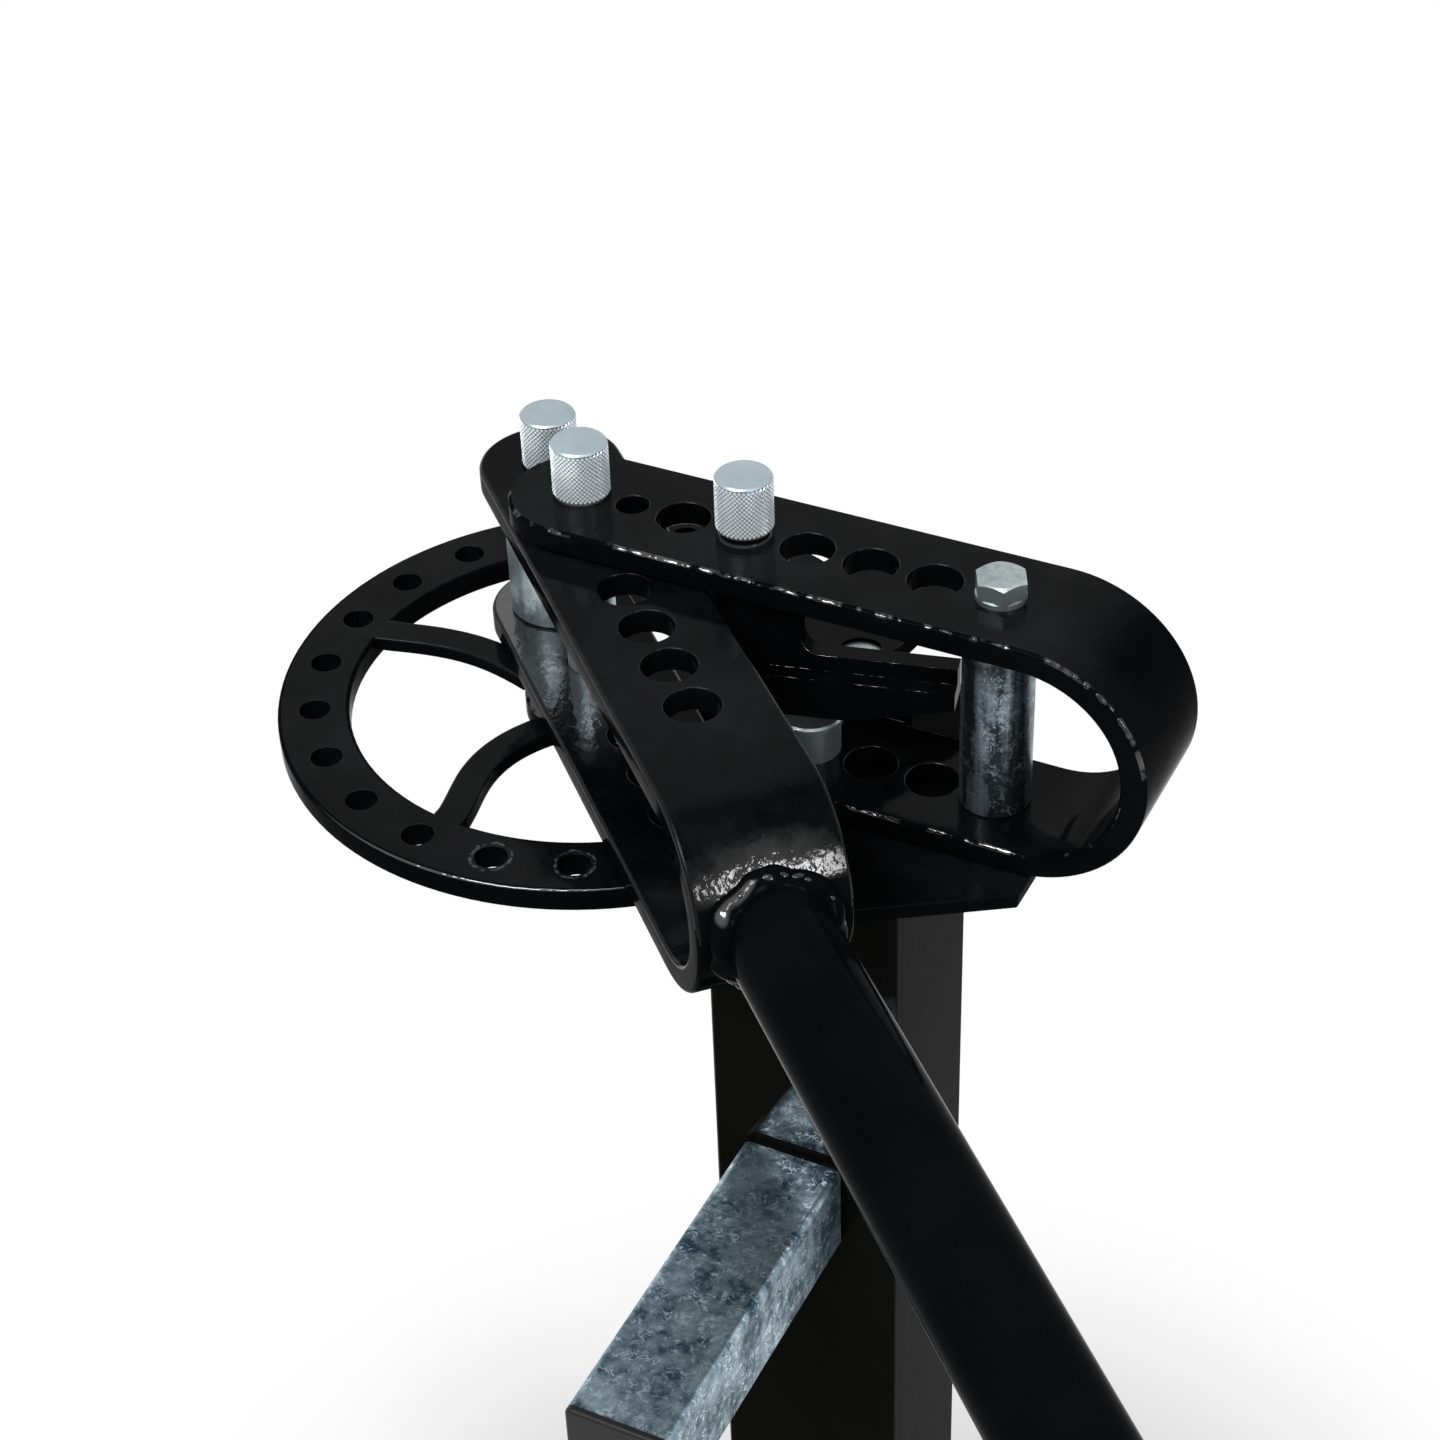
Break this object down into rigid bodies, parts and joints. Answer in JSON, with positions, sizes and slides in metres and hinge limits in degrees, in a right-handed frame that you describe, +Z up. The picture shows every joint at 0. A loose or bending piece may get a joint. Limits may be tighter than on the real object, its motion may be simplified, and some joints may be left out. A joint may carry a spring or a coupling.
{
  "type": "pedestal flat bar bender",
  "caption": "Floor-standing manual bar bender: a hinged hairpin lever with a roller swings inside a fixed hairpin frame above a holed angle ring.",
  "frame": {"origin": "on the floor, straight below the swing pivot", "axes": "+Z up, +X along the fixed frame from the pivot to its bend"},
  "size_m": [0.8687, 0.8892, 1.0315],
  "materials": {
    "black_paint": "gloss black paint",
    "zinc": "bright blue-white zinc plating",
    "bolt_steel": "zinc plated fastener",
    "plug_plastic": "moulded",
    "grip_rubber": "matt"
  },
  "bodies": {
    "pedestal": {"base_plate": "black_paint", "base_ribs": "black_paint", "post": "black_paint", "top_plate": "black_paint", "main_frame": "black_paint", "angle_ring": "black_paint", "ring_spokes": "black_paint", "frame_spacer": "zinc", "frame_bolt": "bolt_steel", "bolt_washers": "bolt_steel", "frame_nut": "bolt_steel", "thrust_washers": "zinc", "former_shoe": "black_paint", "shoe_plug": "zinc", "stub_pin": "zinc", "rest_arm": "zinc", "arm_foot": "black_paint", "arm_plug": "plug_plastic"},
    "swing": {"swing_frame": "black_paint", "handle_pipe": "black_paint", "handle_weld": "black_paint", "handle_grip": "grip_rubber"},
    "roller": {"bending_roller": "zinc"},
    "pivot_pin": {"pivot_pin": "zinc"},
    "fixed_pin": {"fixed_pin": "zinc"},
    "roller_pin": {"roller_pin": "zinc"}
  },
  "joints": [
    {"name": "swing_turn", "type": "hinge", "parent": "pedestal", "child": "swing", "pos_m": [0, 0, 0.9], "axis": [0, 0, 1], "range_deg": [-70, 0]},
    {"name": "roller_spin", "type": "hinge", "parent": "swing", "child": "roller", "pos_m": [-0.03884, 0.03751, 0.937], "axis": [0, 0, 1], "continuous": true},
    {"name": "pivot_pin_lift", "type": "slide", "parent": "pedestal", "child": "pivot_pin", "axis": [0, 0, 1], "range_m": [0, 0.13]},
    {"name": "fixed_pin_lift", "type": "slide", "parent": "pedestal", "child": "fixed_pin", "axis": [0, 0, 1], "range_m": [0, 0.128]},
    {"name": "roller_pin_lift", "type": "slide", "parent": "swing", "child": "roller_pin", "axis": [0, 0, 1], "range_m": [0, 0.1]}
  ]
}
